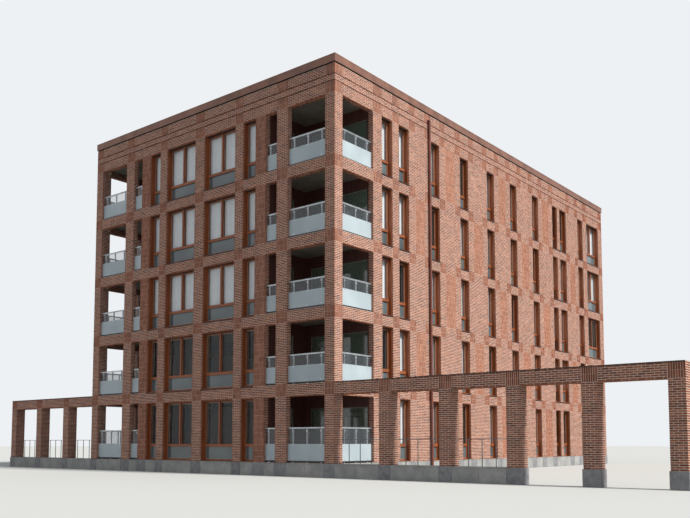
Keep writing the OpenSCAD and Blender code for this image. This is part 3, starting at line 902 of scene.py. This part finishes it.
def fitWindows(side, plan):
    edge, bead, glassY, casing = (windowParts[key] for key in ("edge", "bead", "glassY", "casing"))
    glassLow = windowParts["panelTop"] + windowParts["transom"]
    parts = {"bead": [], "flashing": [], "blind": [], "wood": [], "shadow": []}
    for number in plan["windows"]:
        start, end = plan["openings"][number]
        left, width = start * half - joint, (end - start) * half + joint
        lights = 2 if end - start > 8 else 1
        lightW = (width - (lights + 1) * edge) / lights
        sill = makeSill(width)
        parts["flashing"].append(placeCopies(sill, [(left, 0, floor) for floor in floors]))
        panel = makeRing("panelBead", width - 2 * edge, windowParts["panelTop"] - edge, *bead)
        feet = [(left + edge, glassY, floor + edge) for floor in floors]
        parts["bead"].append(placeCopies(panel, feet))
        for height, levels in storeyKinds:
            ring = makeRing("lightBead", lightW, height - edge - glassLow, *bead)
            feet = [(left + edge + n * (lightW + edge), glassY, floors[s] + glassLow)
                    for s in levels for n in range(lights)]
            parts["bead"].append(placeCopies(ring, feet))
            feet = [(left, 0, floors[s]) for s in levels]
            parts["wood"].append(placeCopies(makeCaps(width, height, lights), feet))
            # Painted shade: a black lining under the casing head, where the head lies in shadow
            top, thick = height - casing, windowParts["lining"]
            lining = makePlate("lining", (casing, brickwork["casingSet"] + thick, top - thick),
                               (width - casing, windowParts["sashY"], top), 0.001)
            parts["shadow"].append(placeCopies(lining, feet))
            # Down in the upper storeys of the front, elsewhere in three windows of four
            drawn = [s for s in levels if (s >= 2 if side == "front" else (number * 5 + s * 3) % 4 != 0)]
            if drawn:
                feet = [(left, 0, floors[s]) for s in drawn]
                parts["blind"].append(placeCopies(makeBlind(width, glassLow, height), feet))
    fitted = {"bead": ("WindowBeads", "aluminium"), "flashing": ("Sills", "copper_sheet"),
              "blind": ("Blinds", "aluminium"), "wood": ("WindowCaps", "oiled_wood"),
              "shadow": ("HeadPaintedShade", "painted_steel")}
    completeKinds(parts, fitted, side, plan["turn"], plan["corner"])


for side, plan in elevations.items():
    fitWindows(side, plan)


# The broad window near the back of each side is parted by a slim brick pier
def partWindow(side, number, start, end):
    plan, casing = elevations[side], windowParts["casing"]
    left, width = (plan["openings"][number][0] + start) * half, (end - start) * half - joint
    depth, sashY = brickwork["casingSet"], windowParts["sashY"]
    parts = {"brick": [], "mortar": [], "wood": []}
    for height, levels in storeyKinds:
        face = coverCorner(layStretchers("face", end - start, height), 0.0, width)
        jambs = [setDown(layJamb(height), turn, corner)
                 for turn, corner in ((-quarter, (0, depth, 0)), (quarter, (width, 0, 0)))]
        core = makePlate("core", (0, 0, 0.002), (width, sashY - 0.004, height - 0.002), 0.001)
        boards = [makePlate("board", (x, depth, casing), (x + casing, sashY, height - casing), 0.002)
                  for x in (-casing, width)]
        feet = [(left, 0, floors[s]) for s in levels]
        for kind, pieces in (("brick", [face] + jambs), ("mortar", [core]), ("wood", boards)):
            parts[kind].append(placeCopies(joinAll(pieces), feet))
    fitted = {"brick": ("SlimPier", "brick"), "mortar": ("SlimPierCore", "brick"),
              "wood": ("SlimPierBoards", "oiled_wood")}
    completeKinds(parts, fitted, side, plan["turn"], plan["corner"])


partWindow("right", 8, 5, 8)
partWindow("left", 2, 7, 10)
print("stage: windows")


# Loggias: upright boards on the clad walls, decking, beads and pulls on the doors, balustrade fittings

loggia = {
    "board": 0.112,
    "boardGap": 0.006,
    "boardT": 0.012,
    "boardEnd": 0.004,              # clear of the slabs
    "doorH": 2.23,
    "window": (0.228, 1.968),       # from the corner along the back wall
    "door": (2.388, 3.348),
    "innerDoor": (0.848, 1.808),    # from the front along the inner side wall
    "doorEdge": 0.075,
    "doorGlass": 0.06,
    "bead": (0.014, 0.012),         # width, depth
    "widestDoor": 1.2,
    "pull": ((0.03, -0.055, 0.95), (0.05, -0.035, 1.25)),
    "pullFeet": (0.98, 1.2),
    "pullFoot": (0.004, 0.012),     # narrower than the bar, height
    "deck": 0.14,
    "deckT": 0.02,
    "deckGap": 0.006,
    "deckEnd": 0.01,                # clear of the walls
    "deckFrom": 0.47,               # behind the balustrade's posts
}


# Boards over a length, short above each opening; drawn along +X, facing -Y
def layBoards(length, height, holes):
    count = round(length / (loggia["board"] + loggia["boardGap"]))
    step, gap, end = length / count, loggia["boardGap"] / 2, loggia["boardEnd"]
    tall, short = [], []
    for n in range(count):
        isOver = any(n * step < b - 0.02 and (n + 1) * step > a + 0.02 for a, b in holes)
        (short if isOver else tall).append((n * step, 0, 0))
    parts = []
    for offsets, foot in ((tall, end), (short, loggia["doorH"] + end)):
        if offsets:
            board = makePlate("board", (gap, -loggia["boardT"], foot), (step - gap, 0, height - end), 0.002)
            parts.append(placeCopies(board, offsets))
    return joinAll(parts)


# A door's pull on two feet, at its left edge
def makePull(left):
    (x, y, low), (endX, endY, high) = loggia["pull"]
    inset, footH = loggia["pullFoot"]
    parts = [makePlate("pull", (left + x, y, low), (left + endX, endY, high), 0.006)]
    for z in loggia["pullFeet"]:
        high = (left + endX - inset, 0.002, z + footH)
        parts.append(makePlate("foot", (left + x + inset, endY - 0.005, z), high, 0.002))
    return joinAll(parts)


def dressLoggias():
    parts = {"board": [], "deck": [], "bead": [], "aluminium": []}
    backLength, sideLength = loggiaW - grid, loggiaD - grid
    left, right, back = -blockW / 2 + grid, blockW / 2 - loggiaW, frontY + loggiaD
    backHoles = [(a - grid, b - grid) for a, b in (loggia["window"], loggia["door"])]
    sideHoles = [(a - grid, b - grid) for a, b in [loggia["innerDoor"]]]
    walls = [  # length, openings, turn, corner
        (backLength, backHoles, 0.0, (left, back)),
        (sideLength, [(sideLength - b, sideLength - a) for a, b in sideHoles], -quarter, (-right, back)),
        (backLength, [(backLength - b, backLength - a) for a, b in backHoles], 0.0, (right, back)),
        (sideLength, sideHoles, quarter, (right, frontY + grid)),
    ]
    edge, end, gap = loggia["doorEdge"], loggia["deckEnd"], loggia["deckGap"] / 2
    count = round((sideLength - 2 * end) / loggia["deck"])
    step = (sideLength - 2 * end) / count
    rows = [frontY + grid + end + n * step for n in range(count)]
    for s in range(storeys):
        for length, holes, turn, corner in walls:
            place = (*corner, floors[s])
            boards = layBoards(length, heads[s] + bandH - slabT - floors[s], holes)
            parts["board"].append(setDown(boards, turn, place))
            for a, b in holes:
                ring = makeRing("bead", b - a - 2 * edge, loggia["doorH"] - 2 * edge, *loggia["bead"])
                parts["bead"].append(setDown(shift(ring, a + edge, loggia["doorGlass"], edge), turn, place))
                if b - a < loggia["widestDoor"]:
                    parts["aluminium"].append(setDown(makePull(a), turn, place))
        for x in (left + end, right + end):
            high = (backLength - 2 * end, step - gap, loggia["deckT"])
            plank = makePlate("plank", (0, gap, 0), high, 0.003)
            offsets = [(x, y, floors[s]) for y in rows if y > frontY + loggia["deckFrom"]]
            parts["deck"].append(placeCopies(plank, offsets))
    completeKinds(parts, {"board": ("loggiaBoards", "cladding"), "deck": ("loggiaDecks", "oiled_wood"),
                          "bead": ("loggiaBeads", "aluminium"), "aluminium": ("doorPulls", "aluminium")})


balustrade = {
    "set": 0.11,
    "glassT": 0.014,
    "frostedH": 0.72,
    "heights": (1.345, 1.155),      # ground storey, others
    "posts": (0.255, 0.16),
    "clamp": (0.05, 0.05),
    "clampLow": 0.12,
    "clampTop": 0.16,               # below the rail
    "clampUnder": 0.06,             # below the edge of the frosted glass
    "foot": (0.05, 0.012),          # half width, height
    "footDepth": 0.075,             # behind the glass
    "railReach": (0.022, 0.06),     # before and behind the back of the glass
    "railT": (0.008, 0.006),        # below and above the top of the bar
    "end": 0.002,                   # clear of the piers
    "footGap": 0.08,
    "channel": 0.045,
}


# Fittings of one balustrade: clamps and feet on the posts, a handrail; a channel at the glass's foot, in dark
# sheet that also paints the shade of the gap under the glass
def makeFittings(width, height, postsAt):
    back, low, end = balustrade["set"], balustrade["footGap"], balustrade["end"]
    face = back - balustrade["glassT"]
    (w, h), (footW, footH) = balustrade["clamp"], balustrade["foot"]
    metal = []
    for x in postsAt:
        for z in (balustrade["clampLow"], balustrade["frostedH"] - balustrade["clampUnder"],
                  height - balustrade["clampTop"]):
            high = (x + w / 2, face + 0.002, z + h)
            metal.append(makePlate("clamp", (x - w / 2, face - 0.01, z), high, 0.003))
        high = (x + footW, back + balustrade["footDepth"], footH)
        metal.append(makePlate("foot", (x - footW, back - 0.01, 0.0), high, 0.003))
    (before, behind), (under, over) = balustrade["railReach"], balustrade["railT"]
    metal.append(makePlate("handrail", (end, back - before, height - under),
                           (width - end, back + behind, height + over), 0.004))
    # Partly painted shade: the channel's dark sheet stands for the shadow in the gap under the glass
    channel = makePlate("channel", (end, face - 0.008, low - balustrade["channel"]),
                        (width - end, face + 0.03, low + 0.004), 0.003)
    return joinAll(metal), channel


def fitBalustrades():
    parts = {"aluminium": [], "flashing": []}
    wideW, slotW = 16 * half + joint, 5 * half + joint
    widePost, slotPost = balustrade["posts"]
    wide = [widePost, wideW / 2, wideW - widePost]
    runs = [  # turn, corner, width, posts
        (0.0, (-blockW / 2 + 4 * half - joint, frontY), wideW, wide),
        (0.0, (-blockW / 2 + 25 * half - joint, frontY), slotW, [slotW - slotPost]),
        (0.0, (blockW / 2 - 30 * half, frontY), slotW, [slotPost]),
        (0.0, (blockW / 2 - 20 * half, frontY), wideW, wide),
        (quarter, (blockW / 2, frontY + 4 * half - joint), wideW, wide),
        (-quarter, (-blockW / 2, frontY + 20 * half), wideW, wide),
    ]
    for turn, corner, width, postsAt in runs:
        for s in range(storeys):
            pieces = makeFittings(width, balustrade["heights"][0 if s == 0 else 1], postsAt)
            for kind, piece in zip(parts, pieces):
                parts[kind].append(setDown(piece, turn, (*corner, floors[s])))
    completeKinds(parts, {"aluminium": ("balustradeFittings", "aluminium"),
                          "flashing": ("balustradeShadeChannels", "painted_steel")})


dressLoggias()
fitBalustrades()
print("stage: loggias")


# Roof edge: sheets in lengths under a lip, a capping, painted shadow strips in the grooves and the gap; felt

roofEdge = {
    "low": eavesZ + 0.045,
    "height": 0.302,
    "out": 0.035,
    # gapSet: the back of the gap, which is lined with a painted shadow sheet
    "gapSet": 0.06,         # back of the dark gap under the sheets
    "sheet": 3.0,
    "sheetT": 0.004,
    "sheetEnd": 0.03,       # how far below the top it ends, under the lip
    "gap": 0.006,
    "lip": (0.009, 0.045),  # how far it stands out, height
    "lipOver": 0.008,       # above the sheet's top
    "capT": 0.008,
    "wall": 0.42,
    # strip: the painted shadow in each groove, below and above its line
    "strip": (-0.018, 0.009),
    "felt": 1.0,
    "feltT": 0.006,
    "lap": 0.06,
}
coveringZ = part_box("roof_covering")[1].z


def edgeRoof():
    parts = {"fascia": [], "shadow": []}
    out, thick, gap, wall = roofEdge["out"], roofEdge["sheetT"], roofEdge["gap"] / 2, roofEdge["wall"]
    low, back, (lipOut, lipH) = roofEdge["low"], roofEdge["gapSet"], roofEdge["lip"]
    top, foot = low + roofEdge["height"], coveringZ + 0.001
    for side, plan in elevations.items():
        length = plan["length"]
        count = round(length / roofEdge["sheet"])
        step = (length + 2 * out) / count
        high = (step - gap, 0.001, roofEdge["height"] - roofEdge["sheetEnd"])
        sheet = makePlate("sheet", (gap, -thick, 0.002), high, 0.0015)
        lip = makePlate("lip", (gap, -lipOut, 0), (step - gap, 0.004, lipH), 0.003)
        rows = [placeCopies(piece, [(n * step - out, -out, z) for n in range(count)])
                for piece, z in ((sheet, low), (lip, top + roofEdge["lipOver"] - lipH))]
        inset = wall if side in ("right", "left") else -out
        step = (length - 2 * inset) / count
        cap = makePlate("cap", (gap, 0, 0), (step - gap, wall + out, roofEdge["capT"]), 0.003)
        rows.append(placeCopies(cap, [(inset + n * step, -out, top) for n in range(count)]))
        step = (length - 2 * wall) / count
        lining = makePlate("lining", (gap, -thick, 0), (step - gap, 0.001, top - foot), 0.0015)
        placed = placeCopies(lining, [(n * step, 0, 0) for n in range(count)])
        rows.append(setDown(placed, 2 * quarter, (length - wall, wall, foot)))
        parts["fascia"].append(setDown(joinAll(rows), plan["turn"], plan["corner"]))
        # Painted shadow: black strips in the two grooves, a sheet under the edge sheets and one behind the
        # gap at the wall's top
        stripLow, stripHigh = roofEdge["strip"]
        strip = makePlate("strip", (0, -0.001, stripLow), (length, 0.003, stripHigh), 0.0008)
        reach = 0.006 - out if side in ("front", "back") else back
        under = makePlate("under", (reach, 0.006 - out, low - 0.004), (length - reach, back, low), 0.001)
        high = (length - back, back + 0.001, low - 0.004)
        behind = makePlate("behind", (back, back - 0.004, eavesZ), high, 0.001)
        dark = joinAll([placeCopies(strip, [(0, 0, z) for z in grooves]), under, behind])
        parts["shadow"].append(setDown(dark, plan["turn"], plan["corner"]))
    completeKinds(parts, {"fascia": ("roofEdgeSheets", "copper_sheet"),
                          "shadow": ("paintedShadowStrips", "copper_sheet")})


def coverRoof():
    wall, thick = roofEdge["wall"] + 0.01, roofEdge["feltT"]
    left, right, front, back = -blockW / 2 + wall, blockW / 2 - wall, frontY + wall, blockD / 2 - wall
    count = round((back - front) / roofEdge["felt"])
    step = (back - front) / count
    edge = (right, front + step + roofEdge["lap"], coveringZ + thick)
    felt = makePlate("felt", (left, front, coveringZ), edge, 0.002)
    for vertex in felt.data.vertices:
        if vertex.co.y > front + step:
            vertex.co.z += thick
    strips = placeCopies(felt, [(0, n * step, 0) for n in range(count)], "roofFelt")
    for vertex in strips.data.vertices:
        vertex.co.y = min(vertex.co.y, back)
    complete(strips, "felt")


edgeRoof()
coverRoof()
print("stage: roof")


# Downpipes: a rim on the stout foot, sockets where the lengths meet

downpipe = {
    "footRadius": 0.065,
    "rim": (1.15, 1.23, 0.071),     # low, high, radius
    "sockets": (3.2, 6.1, 9.0, 11.9),
    "socketH": 0.09,
    "socketRadius": 0.062,
    "round": 0.006,
}


def dressPipes():
    parts = []
    for low, high, radius in [downpipe["rim"]] + [(z, z + downpipe["socketH"], downpipe["socketRadius"])
                                                  for z in downpipe["sockets"]]:
        bpy.ops.mesh.primitive_cylinder_add(vertices=24, radius=radius, depth=high - low,
                                            location=(0, 0, (low + high) / 2))
        socket = bpy.context.object
        settle()
        startEdit()
        bpy.ops.mesh.bevel(offset=downpipe["round"], segments=2)
        endEdit()
        parts.append(socket)
    low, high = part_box("downpipes")
    x, y = high.x - downpipe["footRadius"], (low.y + high.y) / 2
    both = placeCopies(joinAll(parts), [(x, y, 0), (-x, y, 0)], "pipeSockets")
    complete(both, "pipe")


dressPipes()
print("stage: pipes")


# Studio: pale floor, one soft lamp from the right, even light all round

studio = {
    "floor": "#c2c2bf",
    "floorRadius": 260,
    "bounce": "#8f8d89",        # what the floor gives back to the walls
    "sun": 4.7,
    "sunTurn": (48, 0, 94),     # degrees; nearly square to the right side
    "sunSize": 8,
    "sunColour": (1.0, 0.98, 0.94),
    "air": 0.56,
    "airColour": "#e6edf5",
    "seenColour": "#eef1f4",
}


# Shows one shader to rays that see the background: straight, in a gloss, or through glass
def showBehind(tree, given, seen, end):
    path = addNode(tree, "ShaderNodeLightPath")
    straight = addNode(tree, "ShaderNodeMath", {"operation": "MAXIMUM"},
                       links={0: (path, "Is Camera Ray"), 1: (path, "Is Glossy Ray")})
    isSeen = addNode(tree, "ShaderNodeMath", {"operation": "MAXIMUM"},
                     links={0: (straight, "Value"), 1: (path, "Is Transmission Ray")})
    mix = addNode(tree, "ShaderNodeMixShader", links={0: (isSeen, "Value"), 1: (given, 0), 2: (seen, 0)})
    tree.links.new(mix.outputs[0], tree.nodes[end].inputs["Surface"])


def addStage():
    bpy.ops.mesh.primitive_circle_add(vertices=96, radius=studio["floorRadius"], fill_type="NGON")
    ground = bpy.context.object
    ground.name = "studioFloor"
    material, tree, shader = newMaterial("palePaper", Roughness=0.9)[:3]
    shader.inputs["Base Color"].default_value = fromHex(studio["bounce"])
    pale = addNode(tree, "ShaderNodeBsdfDiffuse", values={"Color": fromHex(studio["floor"])})
    showBehind(tree, shader, pale, "Material Output")
    ground.data.materials.append(material)


def addLight():
    bpy.ops.object.light_add(type="SUN", rotation=[math.radians(a) for a in studio["sunTurn"]])
    sun = bpy.context.object.data
    sun.energy, sun.angle, sun.color = studio["sun"], math.radians(studio["sunSize"]), studio["sunColour"]
    world = bpy.data.worlds.new("studio")
    scene.world = world
    world.use_nodes = True
    air = world.node_tree.nodes["Background"]
    air.inputs["Color"].default_value = fromHex(studio["airColour"])
    air.inputs["Strength"].default_value = studio["air"]
    seen = addNode(world.node_tree, "ShaderNodeBackground", values={"Color": fromHex(studio["seenColour"])})
    showBehind(world.node_tree, air, seen, "World Output")


addStage()
addLight()
addCamera()
print("stage: studio and camera")
